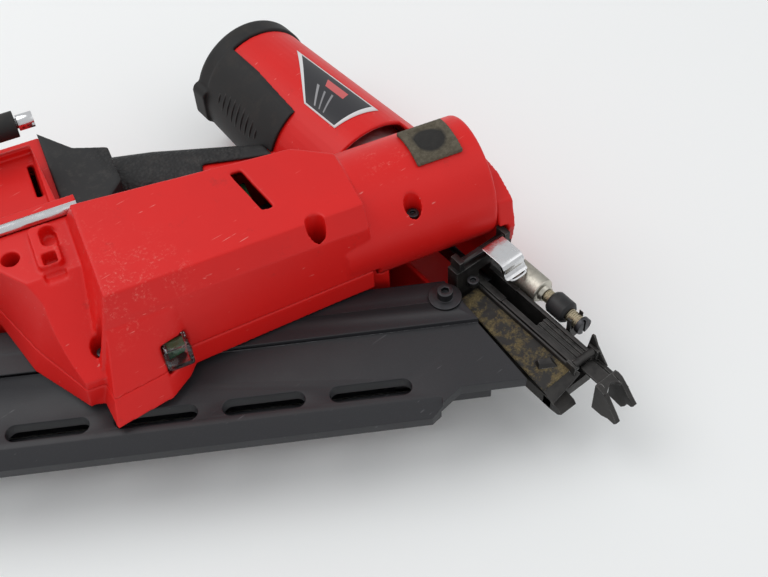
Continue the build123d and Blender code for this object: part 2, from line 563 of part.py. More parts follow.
def coil(axis_place, radius, wire, pitch, length):
    """Compression spring standing on the XY plane of its place."""
    path = Helix(pitch=pitch, height=length, radius=radius)
    profile = Plane(origin=path @ 0, z_dir=path % 0) * Circle(wire / 2)
    return axis_place * sweep(profile, path=path, is_frenet=True)


# ---------------------------------------------------------------- magazine
def magazine():
    outline = [(-45.5, 7), (-79.4, 7), (-95.9, -6.4), (MAG_TAIL - 18, -6.4), (MAG_TAIL - 18, 60),
               (MAG_TAIL - 8, 74), (-78, 74)]
    far_outline = [(-62, 14), (MAG_TAIL - 18, 14), (MAG_TAIL - 18, 60), (MAG_TAIL - 8, 74), (-78, 74)]
    body = prism(outline, (0, MAG_HALF)) + prism(far_outline, (-MAG_HALF, 0))
    band = [(-64, 46), (MAG_TAIL - 18, 46), (MAG_TAIL - 18, 60), (MAG_TAIL - 8, 74), (-78, 74)]
    body += prism(band, (0, RIB_TOP))
    body -= prism([(-30, 0), (-36, -2), (MAG_TAIL - 14, -2), (MAG_TAIL - 14, 69), (-60, 69)], (-0.1, 4.8))
    body -= prism([(-40, 16), (MAG_TAIL - 14, 16), (MAG_TAIL - 14, 69), (-60, 69)], (-4.8, 0))
    for number in range(5):
        body -= Pos(SLOT_FIRST - SLOT_PITCH * number, 11.2, 0) * slot_z(SLOT_LENGTH, 9.6, (0, 20))
    edge = Polyline((0, 0), (-9, 0), (0, -5.5), close=True)
    lower = Plane(origin=(-90, -6.4, MAG_HALF), x_dir=(0, -1, 0), z_dir=(-1, 0, 0))
    body -= extrude(lower * make_face(edge), amount=400)
    body -= bar((MAG_TAIL + 4, -92), (28, 36), (-20, -3))
    body -= MAGAZINE.inverse() * shaft("Z", (-20, 20), 2.55, MAG_SCREW)
    right = MAGAZINE * (body & bar((-420, 0), (-20, 80), (0.02, 20)))
    left = MAGAZINE * (body & bar((-420, 0), (-20, 80), (-20, -0.02)))
    add("magazine_right", max(right.solids(), key=lambda solid: solid.volume))
    add("magazine_left", max(left.solids(), key=lambda solid: solid.volume))
    rail = bar((MAG_TAIL - 10, -92), (65.4, 68.8), (2.6, 4.7))
    rail += bar((MAG_TAIL - 10, -92), (65.4, 68.8), (-4.7, -2.6))
    rail += bar((MAG_TAIL - 10, -92), (16.2, 18.4), (-4.7, -2.6))
    add("nail_rails", MAGAZINE * rail)
    pusher = bar((-112, -90), (19, 63), (-4.2, 4.2)) - shaft("Z", (-10, 10), 7.2, (-101, 50))
    add("pusher", MAGAZINE * (pusher + pipe("Z", (-4, 4), 7, 2, (-101, 50))))
    knob = bar((-110, -94), (29, 35), (-12.4, -4.2)) + soft_bar((-114, -90), (25, 39), (-20, -12.4), 4, 0.8)
    add("pusher_knob", MAGAZINE * knob)
    screw = shaft("Z", (16.6, 21.6), 4.2, MAG_SCREW) + shaft("Z", (-18, 16.6), 2.5, MAG_SCREW)
    screw -= Pos(*MAG_SCREW, 19) * extrude(RegularPolygon(2.3, 6), amount=4)
    add("magazine_screw", screw + pipe("Z", (RIB_TOP, 16.6), 8.9, 2.5, MAG_SCREW))


# ---------------------------------------------------------------- handle works and hook
def trigger_group():
    outline = [(-70, 66), (-70, 81), (-82, 81), (-86, 76), (-107, 73.5), (-104, 67), (-93, 60), (-90, 51),
               (-80, 53)]
    lever = prism(outline, (-6.5, 6.5))
    lever -= shaft("Z", (-10, 10), 2.06, (-76, 77))
    add("trigger", TRIGGER * fillet(lever.edges().filter_by(Axis.Z).sort_by(Axis.Y)[:3], 1.5))
    add("trigger_pin", TRIGGER * shaft("Z", (-12.3, 12.3), 2.0, (-76, 77)))
    switch = bar((-134, -112), (80, 96.6), (-8, 8)) + bar((-112, -109), (84, 88), (-3, 3))
    add("trigger_switch", TRIGGER * switch)
    place = TRIGGER * Pos(-84.5, 82.2, 0) * Rot(-90, 0, 0)
    add("trigger_spring", coil(place, 2.6, 0.8, 1.8, 8.2))


def hook_group():
    path = FilletPolyline((-184, 45, 67.5), (-286, 45, 67.5), (-286, 125, 64), (-197, 125, 64), radius=16)
    profile = Plane(origin=path @ 0, z_dir=path % 0) * Circle(3)
    screw = shaft("X", (-199, -190), 4.6, (125, 64)) - bar((-191.5, -189), (120, 130), (63.2, 64.8))
    add("rafter_hook", BLOCK * (sweep(profile, path=path) + screw))
    add("hook_sleeve", BLOCK * pipe("X", (-268, -200), 7.6, 3, (125, 64)))


def fasteners():
    group = Part()
    for a, b, _, floor in SCREW_WELLS:
        group += shaft("Z", (floor, floor + 3), 3.2, (a, b)) - shaft("Z", (floor + 1.4, floor + 4), 1.5, (a, b))
    group = BLOCK * group
    group += shaft("Z", (14, 17.4), 3.2, (-16, 93)) - shaft("Z", (15.6, 18), 1.5, (-16, 93))
    add("housing_screws", group)
    button = fillet(shaft("Z", (40, 46.5), 5.3, MODE_BUTTON).edges().sort_by(Axis.Z)[-1], 1)
    add("mode_button", BLOCK * (button + shaft("Z", (39, 41.5), 7, MODE_BUTTON)))


def main():
    housings()
    covers()
    handle_grips()
    gas_spring()
    lifter()
    planetary()
    motor()
    electronics()
    battery()
    nose()
    contact_arm()
    magazine()
    trigger_group()
    hook_group()
    fasteners()
    os.makedirs("parts", exist_ok=True)
    for name, shape in parts.items():
        export_step(PLACE * shape, f"parts/{name}.step")


main()
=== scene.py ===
"""Looks of the cordless framing nailer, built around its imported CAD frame."""
import json
import math

import bmesh
import bpy
from mathutils import Matrix, Vector


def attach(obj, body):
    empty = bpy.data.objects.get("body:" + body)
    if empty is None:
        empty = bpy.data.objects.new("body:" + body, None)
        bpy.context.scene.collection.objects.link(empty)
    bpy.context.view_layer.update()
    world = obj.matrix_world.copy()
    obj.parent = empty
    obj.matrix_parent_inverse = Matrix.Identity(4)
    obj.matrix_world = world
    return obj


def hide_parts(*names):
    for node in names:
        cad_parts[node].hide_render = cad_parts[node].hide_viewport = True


# ---------------------------------------------------------------- frames, in millimetres
CENTRE_X = -139.0          # origin of the row frame in the tool frame
CENTRE_Y = 176.04
REST_Z = 42.0
DRIVE_X = -3.0             # drive line, along Y
GEAR_Y = 142.2             # where the motor axis crosses X = 0
AXIS_Z = 40.0
BLOCK_TURN = math.radians(-15)
HANDLE_TURN = math.radians(-30)
ADJUST = (13.8, 10.5)      # x and z of the depth adjuster's axis, from the drive line

# ---------------------------------------------------------------- sizes of the detail pieces
BARREL_FRONT = 184         # where the barrel's cone starts, along the drive line
BARREL_LENGTH = 134
BARREL_RADIUS = 42.2
BARREL_TAPER = 5.0
LABEL_LIFT = 0.12
RIB_SEAT = 1.9             # from the barrel's cone out to the skin of the guard
KNURL_SPAN = (67.2, 86.4)
KNURL_RIDGES = 27
KNURL_SLOPE = 2.1
THREAD_PITCH = 1.25
THREAD_DEPTH = 0.32
THREAD_RADIUS = 3.85
THREAD_STEP = 0.16

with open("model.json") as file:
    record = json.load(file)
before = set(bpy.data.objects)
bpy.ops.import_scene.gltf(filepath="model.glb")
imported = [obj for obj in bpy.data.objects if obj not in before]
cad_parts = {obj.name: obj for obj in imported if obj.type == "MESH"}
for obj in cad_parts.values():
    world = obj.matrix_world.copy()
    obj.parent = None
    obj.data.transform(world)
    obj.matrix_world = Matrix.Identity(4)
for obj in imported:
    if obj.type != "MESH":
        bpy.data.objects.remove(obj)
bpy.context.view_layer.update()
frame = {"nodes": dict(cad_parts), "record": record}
nodes = frame["nodes"]


def tool(x, y, z):
    """Tool frame in millimetres to the row frame in metres."""
    return Vector((x - CENTRE_X, y - CENTRE_Y, z + REST_Z)) / 1000


def block(a, b, z):
    """Motor block frame: A runs along the motor axis, B across it."""
    c, s = math.cos(BLOCK_TURN), math.sin(BLOCK_TURN)
    return tool(c * a - s * b, GEAR_Y + s * a + c * b, z)


def drive(x, y, z):
    """Drive-line frame: X is measured from the drive line."""
    return tool(x + DRIVE_X, y, z)


def barrel_radius(y):
    return BARREL_RADIUS - BARREL_TAPER * (y - BARREL_FRONT) / BARREL_LENGTH


# ---------------------------------------------------------------- material helpers
class Look:
    """A node material with short ways to add noise, masks and bump."""

    def __init__(self, name, colour, roughness=0.5, metallic=0.0, coat=0.0, specular=0.5):
        self.mat = bpy.data.materials.new(name)
        self.mat.use_nodes = True
        self.tree = self.mat.node_tree
        self.bsdf = self.tree.nodes["Principled BSDF"]
        self.coords = self.new("ShaderNodeTexCoord").outputs["Object"]
        self.bsdf.inputs["Base Color"].default_value = (*colour, 1)
        self.bsdf.inputs["Roughness"].default_value = roughness
        self.bsdf.inputs["Metallic"].default_value = metallic
        self.bsdf.inputs["Coat Weight"].default_value = coat
        self.bsdf.inputs["Specular IOR Level"].default_value = specular
        self.colour = colour        # a plain colour until something is painted over it
        self.rough = roughness      # a plain number until something varies it
        self.heights = []

    def new(self, kind):
        return self.tree.nodes.new(kind)

    def link(self, source, target):
        self.tree.links.new(source, target)

    def math(self, kind, first, second, clamp=False):
        node = self.new("ShaderNodeMath")
        node.operation = kind
        node.use_clamp = clamp
        for socket, item in zip(node.inputs, (first, second)):
            if isinstance(item, (int, float)):
                socket.default_value = item
            else:
                self.link(item, socket)
        return node.outputs[0]

    def stretched(self, scale, turn=0.0):
        node = self.new("ShaderNodeMapping")
        node.inputs["Scale"].default_value = scale
        node.inputs["Rotation"].default_value = (0, 0, turn)
        self.link(self.coords, node.inputs["Vector"])
        return node.outputs[0]

    def noise(self, scale, detail=2.0, rough=0.5, vector=None):
        node = self.new("ShaderNodeTexNoise")
        node.inputs["Scale"].default_value = scale
        node.inputs["Detail"].default_value = detail
        node.inputs["Roughness"].default_value = rough
        self.link(vector or self.coords, node.inputs["Vector"])
        return node.outputs["Fac"]

    def cells(self, scale, vector=None, feature="F1", output="Distance"):
        node = self.new("ShaderNodeTexVoronoi")
        node.feature = feature
        node.inputs["Scale"].default_value = scale
        self.link(vector or self.coords, node.inputs["Vector"])
        return node.outputs[output]

    def ramp(self, source, low, high):
        """0 below low, 1 above high."""
        node = self.new("ShaderNodeMapRange")
        node.inputs["From Min"].default_value = low
        node.inputs["From Max"].default_value = high
        self.link(source, node.inputs["Value"])
        return node.outputs[0]

    def paint(self, mask, colour):
        node = self.new("ShaderNodeMix")
        node.data_type = "RGBA"
        self.link(mask, node.inputs["Factor"])
        if isinstance(self.colour, tuple):
            node.inputs[6].default_value = (*self.colour, 1)
        else:
            self.link(self.colour, node.inputs[6])
        node.inputs[7].default_value = (*colour, 1)
        self.colour = node.outputs[2]
        return self

    def vary(self, mask, amount):
        """Roughness up or down by amount where the mask is 1."""
        self.rough = self.math("ADD", self.rough, self.math("MULTIPLY", mask, amount), clamp=True)
        return self

    def edges(self, radius, low=0.02, high=0.25):
        """Mask of edges, from how far a rounded normal leaves the true one."""
        bevel = self.new("ShaderNodeBevel")
        bevel.samples = 6
        bevel.inputs["Radius"].default_value = radius
        geometry = self.new("ShaderNodeNewGeometry")
        dot = self.new("ShaderNodeVectorMath")
        dot.operation = "DOT_PRODUCT"
        self.link(bevel.outputs[0], dot.inputs[0])
        self.link(geometry.outputs["Normal"], dot.inputs[1])
        return self.ramp(self.math("SUBTRACT", 1.0, dot.outputs["Value"]), low, high)

    def facing_up(self, low=0.3, high=0.9):
        geometry = self.new("ShaderNodeNewGeometry")
        split = self.new("ShaderNodeSeparateXYZ")
        self.link(geometry.outputs["Normal"], split.inputs[0])
        return self.ramp(split.outputs["Z"], low, high)

    def near(self, place, far, close):
        """0 beyond far from a place, 1 within close of it."""
        away = self.new("ShaderNodeVectorMath")
        away.operation = "DISTANCE"
        self.link(self.coords, away.inputs[0])
        away.inputs[1].default_value = place
        return self.ramp(away.outputs["Value"], far, close)

    def bump(self, height, distance, strength=1.0):
        self.heights.append((height, distance, strength))
        return self

    def done(self):
        if not isinstance(self.colour, tuple):
            self.link(self.colour, self.bsdf.inputs["Base Color"])
        if not isinstance(self.rough, float):
            self.link(self.rough, self.bsdf.inputs["Roughness"])
        normal = None
        for height, distance, strength in self.heights:
            node = self.new("ShaderNodeBump")
            node.inputs["Distance"].default_value = distance
            node.inputs["Strength"].default_value = strength
            self.link(height, node.inputs["Height"])
            if normal:
                self.link(normal, node.inputs["Normal"])
            normal = node.outputs[0]
        if normal:
            self.link(normal, self.bsdf.inputs["Normal"])
        return self.mat


def scratches(look, scale, turn, low, high):
    """Thin broken streaks running one way."""
    streak = look.noise(scale, 1.0, 0.4, look.stretched((0.06, 1.0, 1.0), turn))
    breaks = look.noise(scale * 0.16, 2.0)
    return look.math("MULTIPLY", look.ramp(streak, low, high), look.ramp(breaks, 0.5, 0.62))


# ---------------------------------------------------------------- materials
def red_shell():
    look = Look("red_shell", (0.70, 0.010, 0.008), 0.38, specular=0.32)
    cloud = look.ramp(look.noise(22, 4.0, 0.6), 0.35, 0.7)
    look.paint(look.math("MULTIPLY", cloud, 0.35), (0.58, 0.008, 0.007))
    dirt = look.math("MULTIPLY", look.ramp(look.noise(70, 6.0, 0.75), 0.62, 0.80), 0.45)
    look.paint(dirt, (0.26, 0.02, 0.016))
    worn = look.math("MULTIPLY", look.edges(0.0016), look.ramp(look.noise(180, 6.0, 0.7), 0.50, 0.66))
    look.paint(look.math("MULTIPLY", worn, 0.55), (0.80, 0.26, 0.22))
    marks = look.math("ADD", scratches(look, 620, 0.5, 0.745, 0.77),
                      scratches(look, 760, -0.9, 0.75, 0.775), True)
    look.paint(look.math("MULTIPLY", marks, 0.5), (0.82, 0.34, 0.30))
    scuffed = scuff(look)
    look.paint(look.math("MULTIPLY", scuffed, 0.5), (0.80, 0.30, 0.25))
    look.vary(cloud, 0.07).vary(scuffed, 0.15)
    look.bump(look.noise(2600, 2.0), 0.00005, 0.5)
    return look.done()


def scuff(look):
    """Rubbed patches at the back corners and the middle of the motor block."""
    masks = None
    places = ((block(-176, -26, 78), 0.042), (block(-196, 20, 78), 0.030), (block(-30, 0, 80), 0.02))
    for place, radius in places:
        near = look.near(place, radius, radius * 0.2)
        masks = near if masks is None else look.math("MAXIMUM", masks, near)
    fine = look.ramp(look.noise(520, 6.0, 0.8), 0.52, 0.64)
    broad = look.ramp(look.noise(110, 4.0, 0.6), 0.46, 0.62)
    return look.math("MULTIPLY", look.math("MULTIPLY", fine, broad), masks)


def dusty_rubber():
    look = Look("dusty_rubber", (0.013, 0.0125, 0.0125), 0.60, specular=0.35)
    dust = look.math("MULTIPLY", look.facing_up(0.1, 0.9), look.ramp(look.noise(90, 5.0, 0.65), 0.50, 0.75))
    look.paint(look.math("MULTIPLY", dust, 0.22), (0.12, 0.105, 0.09))
    rubbed = look.math("MULTIPLY", look.edges(0.0010), look.ramp(look.noise(220, 4.0), 0.45, 0.62))
    look.paint(look.math("MULTIPLY", rubbed, 0.4), (0.11, 0.10, 0.095))
    look.vary(dust, 0.2)
    look.bump(look.noise(1500, 3.0, 0.6), 0.00008, 0.6)
    return look.done()


def scaled_grip():
    """Rubber with rows of small raised scales along the handle."""
    look = Look("scaled_grip", (0.012, 0.012, 0.0125), 0.52, specular=0.4)
    scales = look.ramp(look.cells(430, look.stretched((1.0, 1.0, 1.0), HANDLE_TURN)), 0.15, 0.65)
    held = look.near(block(-122, 116, 16), 0.047, 0.043)
    shaped = look.math("MULTIPLY", scales, held)
    dust = look.math("MULTIPLY", look.facing_up(0.3, 0.95), look.ramp(look.noise(130, 5.0, 0.7), 0.5, 0.75))
    look.paint(look.math("MULTIPLY", dust, 0.2), (0.14, 0.125, 0.11))
    look.vary(shaped, 0.12)
    look.bump(shaped, -0.0004, 0.8)
    look.bump(look.noise(1900, 2.0), 0.00005, 0.5)
    return look.done()


def dusty_saddle():
    """Rubber pad under pale grey-brown dust, near black in a small round patch in the middle."""
    look = Look("dusty_saddle", (0.085, 0.073, 0.052), 0.85, specular=0.2)
    rubbed = look.ramp(look.noise(300, 6.0, 0.8), 0.42, 0.62)
    look.paint(look.math("MULTIPLY", rubbed, 0.6), (0.17, 0.148, 0.11))
    middle = look.near(block(-3, 2, 75), 0.0098, 0.0078)
    look.paint(look.math("MULTIPLY", middle, 0.9), (0.022, 0.022, 0.023))
    look.bump(look.noise(900, 4.0, 0.7), 0.0002, 0.7)
    return look.done()


def black_moulding():
    look = Look("black_moulding", (0.012, 0.012, 0.013), 0.5, specular=0.4)
    dust = look.math("MULTIPLY", look.facing_up(0.1, 0.9), look.ramp(look.noise(120, 6.0, 0.7), 0.5, 0.72))
    look.paint(look.math("MULTIPLY", dust, 0.15), (0.12, 0.11, 0.10))
    look.bump(look.noise(2400, 2.0), 0.00005, 0.6)
    return look.done()


def magazine_coat():
    look = Look("magazine_coat", (0.016, 0.016, 0.019), 0.46, specular=0.5)
    speck = look.ramp(look.noise(2300, 2.0, 0.6), 0.60, 0.72)
    look.paint(look.math("MULTIPLY", speck, 0.35), (0.07, 0.07, 0.078))
    marks = look.math("ADD", scratches(look, 620, 0.75, 0.75, 0.775),
                      scratches(look, 700, -0.3, 0.75, 0.775), True)
    look.paint(look.math("MULTIPLY", marks, 0.4), (0.15, 0.15, 0.16))
    worn = look.math("MULTIPLY", look.edges(0.0006), look.ramp(look.noise(300, 5.0, 0.7), 0.46, 0.58))
    look.paint(look.math("MULTIPLY", worn, 0.7), (0.30, 0.30, 0.31))
    look.vary(look.noise(90, 3.0), 0.12)
    look.bump(look.noise(2600, 2.0, 0.6), 0.00006, 0.6)
    return look.done()


def worn_steel(name, colour, roughness, grime=0.5, tint=(0.05, 0.042, 0.035)):
    look = Look(name, colour, roughness, metallic=1.0)
    patches = look.ramp(look.noise(120, 6.0, 0.7), 0.45, 0.66)
    look.paint(look.math("MULTIPLY", patches, grime), tint)
    bright = look.math("MULTIPLY", look.edges(0.0008), 0.8)
    look.paint(bright, tuple(min(1.0, c * 1.25 + 0.1) for c in colour))
    look.vary(patches, 0.22)
    look.bump(look.noise(900, 3.0, 0.6, look.stretched((0.15, 1, 1))), 0.00005, 0.5)
    look.bump(look.noise(400, 4.0), 0.00012, 0.4)
    return look.done()


def dusty_steel():
    """Blackened nose steel with worn bright edges and sawdust caught on its flats."""
    look = Look("dusty_steel", (0.045, 0.043, 0.042), 0.40, metallic=0.85)
    patches = look.ramp(look.noise(130, 6.0, 0.7), 0.42, 0.62)
    look.paint(look.math("MULTIPLY", patches, 0.5), (0.10, 0.095, 0.09))
    worn = look.math("MULTIPLY", look.edges(0.0007), look.ramp(look.noise(200, 4.0), 0.36, 0.56))
    look.paint(worn, (0.50, 0.49, 0.47))
    look.vary(patches, 0.25)
    look.bump(look.noise(500, 4.0), 0.00015, 0.5)
    return look.done()


def sawdust_plate():
    """Dark plate under a patchy crust of sawdust."""
    look = Look("sawdust_plate", (0.022, 0.020, 0.018), 0.6, metallic=0.2)
    crust = look.ramp(look.noise(85, 6.0, 0.78), 0.47, 0.60)
    grains = look.ramp(look.noise(1100, 3.0, 0.7), 0.38, 0.62)
    look.paint(look.math("MULTIPLY", crust, 0.85), (0.17, 0.125, 0.055))
    look.paint(look.math("MULTIPLY", look.math("MULTIPLY", crust, grains), 0.6), (0.34, 0.27, 0.13))
    look.vary(crust, 0.35)
    look.bump(look.math("MULTIPLY", crust, grains), 0.0005, 0.8)
    return look.done()


def label_print():
    """Blank rating label: dark field, pale border, one plain red block and three grey strips."""
    look = Look("label_print", (0.018, 0.018, 0.022), 0.35)
    texture = look.new("ShaderNodeTexCoord")
    split = look.new("ShaderNodeSeparateXYZ")
    look.link(texture.outputs["UV"], split.inputs[0])
    across, along = split.outputs["X"], split.outputs["Y"]

    def inside(low_u, high_u, low_v, high_v):
        masks = [look.math("GREATER_THAN", across, low_u), look.math("LESS_THAN", across, high_u),
                 look.math("GREATER_THAN", along, low_v), look.math("LESS_THAN", along, high_v)]
        total = masks[0]
        for mask in masks[1:]:
            total = look.math("MULTIPLY", total, mask)
        return total

    look.paint(look.math("SUBTRACT", 1.0, inside(0.035, 0.965, 0.06, 0.94)), (0.72, 0.72, 0.72))
    look.paint(inside(0.62, 0.82, 0.30, 0.58), (0.60, 0.10, 0.10))
    look.paint(inside(0.10, 0.54, 0.66, 0.70), (0.30, 0.30, 0.31))
    look.paint(inside(0.10, 0.50, 0.54, 0.57), (0.24, 0.24, 0.25))
    look.paint(inside(0.10, 0.54, 0.42, 0.45), (0.24, 0.24, 0.25))
    look.bump(look.noise(900, 2.0), 0.00003, 0.4)
    return look.done()


def satin_nickel():
    look = Look("satin_nickel", (0.56, 0.53, 0.46), 0.34, metallic=1.0)
    grime = look.ramp(look.noise(160, 5.0, 0.7), 0.45, 0.7)
    look.paint(look.math("MULTIPLY", grime, 0.45), (0.16, 0.14, 0.11))
    look.vary(grime, 0.2)
    look.bump(look.noise(1500, 2.0), 0.00004, 0.5)
    return look.done()


def plain(name, colour, roughness, metallic=0.0, bump_scale=900):
    look = Look(name, colour, roughness, metallic)
    cloud = look.ramp(look.noise(200, 4.0, 0.6), 0.4, 0.7)
    look.paint(look.math("MULTIPLY", cloud, 0.3), tuple(c * 0.6 for c in colour))
    look.vary(cloud, 0.1)
    look.bump(look.noise(bump_scale, 2.0), 0.00006, 0.5)
    return look.done()


def clear_lens():
    look = Look("clear_lens", (0.93, 0.94, 0.95), 0.04)
    look.bsdf.inputs["Transmission Weight"].default_value = 1.0
    look.bsdf.inputs["IOR"].default_value = 1.49
    look.bump(look.cells(260), 0.0004, 0.5)
    haze = look.ramp(look.noise(150, 4.0), 0.45, 0.7)
    look.vary(haze, 0.12)
    return look.done()


RED = red_shell()
RUBBER = dusty_rubber()
GRIP = scaled_grip()
SADDLE = dusty_saddle()
LABEL = label_print()
NICKEL = satin_nickel()
SAWDUST = sawdust_plate()
BRASS_STEEL = plain("brassy_steel", (0.42, 0.36, 0.25), 0.38, 1.0)
MOULDING = black_moulding()
COAT = magazine_coat()
ZINC = worn_steel("zinc_plate", (0.46, 0.45, 0.43), 0.36)
NOSE = dusty_steel()
BLACK_STEEL = worn_steel("black_steel", (0.07, 0.07, 0.075), 0.4, 0.3, (0.02, 0.02, 0.02))
BRIGHT = worn_steel("bright_plate", (0.72, 0.72, 0.73), 0.16, 0.12, (0.3, 0.29, 0.28))
GEAR = worn_steel("gear_metal", (0.42, 0.42, 0.43), 0.3, 0.35)
ALLOY = plain("machined_alloy", (0.6, 0.6, 0.61), 0.34, 1.0)
BRASS = plain("valve_brass", (0.75, 0.56, 0.22), 0.3, 1.0)
COPPER = plain("winding_copper", (0.66, 0.28, 0.12), 0.35, 1.0, 2200)
BOARD = plain("board_coat", (0.02, 0.13, 0.05), 0.35)
WRAP = plain("cell_wrap", (0.03, 0.14, 0.33), 0.3)
LENS = clear_lens()

SLOT_LOOKS = {
    "red_plastic": RED, "black_rubber": RUBBER, "black_plastic": MOULDING, "magazine_black": COAT,
    "clear_plastic": LENS, "zinc_steel": ZINC, "dark_steel": BLACK_STEEL, "chrome_rod": BRIGHT,
    "gear_steel": GEAR, "cast_alloy": ALLOY, "valve_brass": BRASS, "winding_copper": COPPER,
    "board_green": BOARD, "cell_wrap": WRAP,
}
NODE_LOOKS = {
    "nosepiece": NOSE, "nose_hinges": NOSE, "no_mar_pads": SADDLE, "grip_right": GRIP, "grip_left": GRIP,
}
EDGE_WIDTHS = {"magazine_right": 0.5, "magazine_left": 0.5, "battery_base": 0.8, "battery_cover": 0.8}
SOFT_NODES = {                # nodes with moulded corners, and how often each is relaxed
    "motor_cover": 4, "housing_left": 4, "housing_right": 4, "gear_case_flange": 4, "barrel_end_cap": 3,
    "grip_right": 22, "grip_left": 22, "no_mar_pads": 3,
}
VOXEL = 0.0007


def round_over(obj, rounds):
    """Moulded corners: an even skin of small faces, relaxed a few times."""
    remesh = obj.modifiers.new("skin", "REMESH")
    remesh.mode = "VOXEL"
    remesh.voxel_size = VOXEL
    remesh.use_smooth_shade = True
    smooth = obj.modifiers.new("relax", "SMOOTH")
    smooth.factor = 0.6
    smooth.iterations = rounds


def bevel_edges(obj, width, angle=24.0):
    bevel = obj.modifiers.new("edge", "BEVEL")
    bevel.width = width / 1000
    bevel.segments = 3
    bevel.limit_method = "ANGLE"
    bevel.angle_limit = math.radians(angle)
    bevel.use_clamp_overlap = False
    bevel.harden_normals = True


def dress_cad():
    """Material, rounded edges and smooth shading for every CAD node."""
    slots = {row["node"]: row["material_slot"] for row in frame["record"]["subparts"]}
    for name, obj in nodes.items():
        obj.data.materials.clear()
        obj.data.materials.append(NODE_LOOKS.get(name) or SLOT_LOOKS[slots[name]])
        if name in SOFT_NODES:
            round_over(obj, SOFT_NODES[name])
        else:
            weld = obj.modifiers.new("weld", "WELD")
            weld.merge_threshold = 0.00001
            flat = obj.modifiers.new("flat", "DECIMATE")
            flat.decimate_type = "DISSOLVE"
            flat.angle_limit = math.radians(0.8)
            bevel_edges(obj, EDGE_WIDTHS.get(name, 0.25))
        for polygon in obj.data.polygons:
            polygon.use_smooth = True


# ---------------------------------------------------------------- detail pieces
def new_piece(name, mesh, look, body, slot, *replaced):
    obj = bpy.data.objects.new(name, mesh)
    bpy.context.scene.collection.objects.link(obj)
    mesh.materials.append(look)
    for polygon in mesh.polygons:
        polygon.use_smooth = True
    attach(obj, body)
    if replaced:
        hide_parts(*replaced)
    return obj


def mesh_from(name, points, faces):
    mesh = bpy.data.meshes.new(name)
    mesh.from_pydata([tuple(point) for point in points], [], faces)
    work = bmesh.new()
    work.from_mesh(mesh)
    bmesh.ops.recalc_face_normals(work, faces=work.faces)
    work.to_mesh(mesh)
    work.free()
    return mesh


def ring_mesh(name, rings, closed_ends=True):
    """Skin over rings that have the same number of points."""
    count = len(rings[0])
    points = [point for ring in rings for point in ring]
    faces = []
    for row in range(len(rings) - 1):
        for place in range(count):
            after = (place + 1) % count
            faces.append((row * count + place, row * count + after,
                          (row + 1) * count + after, (row + 1) * count + place))
    if closed_ends:
        faces.append(tuple(range(count)))
        last = (len(rings) - 1) * count
        faces.append(tuple(range(last, last + count)))
    return mesh_from(name, points, faces)


def turned(name, profile, centre, sides=64, ripple=None):
    """Turned part along the drive direction, from (y, radius) pairs; ripple changes the radius."""
    rings = []
    for y, radius in profile:
        ring = []
        for side in range(sides):
            angle = 2 * math.pi * side / sides
            r = radius + (ripple(y, angle) if ripple else 0.0)
            ring.append(drive(centre[0] + r * math.cos(angle), y, centre[1] + r * math.sin(angle)))
        rings.append(ring)
    return ring_mesh(name, rings, closed_ends=False)


def sheet_mesh(name, top, thickness, place):
    """Closed plate over an outline, between its top heights and the same heights less the thickness."""
    upper = [place(x, y, z) for x, y, z in top]
    lower = [place(x, y, z - thickness) for x, y, z in top]
    return ring_mesh(name, [upper, lower])


def profile_bar(name, outline, span):
    """Bar along the drive direction with an (x, z) outline."""
    rings = [[drive(x, y, z) for x, z in outline] for y in span]
    return ring_mesh(name, rings)


def joined(name, meshes):
    """One mesh from several, each left as its own shell."""
    points, faces = [], []
    for mesh in meshes:
        start = len(points)
        points += [vertex.co.copy() for vertex in mesh.vertices]
        faces += [tuple(start + index for index in polygon.vertices) for polygon in mesh.polygons]
        bpy.data.meshes.remove(mesh)
    return mesh_from(name, points, faces)


def side_plate(name, outline, x, tip_shift=0.0):
    """Plate across the drive line with a (y, z) outline; its front moves sideways by tip_shift."""
    front = min(y for y, _ in outline)
    back = max(y for y, _ in outline)
    rings = []
    for face_x in x:
        ring = []
        for y, z in outline:
            share = (back - y) / (back - front)
            ring.append(drive(face_x + tip_shift * share * share, y, z))
        rings.append(ring)
    return ring_mesh(name, rings)


def bar_mesh(name, x, y, z, place=drive):
    ring = [(x[0], y[0]), (x[1], y[0]), (x[1], y[1]), (x[0], y[1])]
    return ring_mesh(name, [[place(px, py, level) for px, py in ring] for level in z])


def nose_door():
    """Door with two raised rails, a grooved web between them and a rolled hinge end."""
    rails = []
    for low, high in ((-7.4, -4.0), (3.7, 6.2)):
        rail = [(low, 7.7), (low, 9.9), (low + 0.5, 10.3), (high - 0.5, 10.3), (high, 9.6), (high, 7.7)]
        rails.append(profile_bar("rail", rail, (22.4, 76)))
    web = [(-4.1, 7.8), (-4.1, 8.7), (-2.2, 8.7), (-2.0, 9.5), (-0.8, 9.5), (-0.6, 8.5), (1.0, 8.5),
           (1.2, 9.5), (2.2, 9.5), (2.4, 8.7), (3.8, 8.7), (3.8, 7.8)]
    rails.append(profile_bar("web", web, (23, 53)))
    roll = [(2.1 * math.cos(t), 2.1 * math.sin(t)) for t in (2 * math.pi * k / 20 for k in range(20))]
    rails.append(ring_mesh("roll", [[drive(x, 21.5 + y, 10.2 + z) for y, z in roll] for x in (-7.4, 6.2)]))
    mesh = joined("nose_door_rails", rails)
    door = new_piece("nose_door_rails", mesh, NOSE, "door", "zinc_steel", "nose_door")
    bevel_edges(door, 0.2)


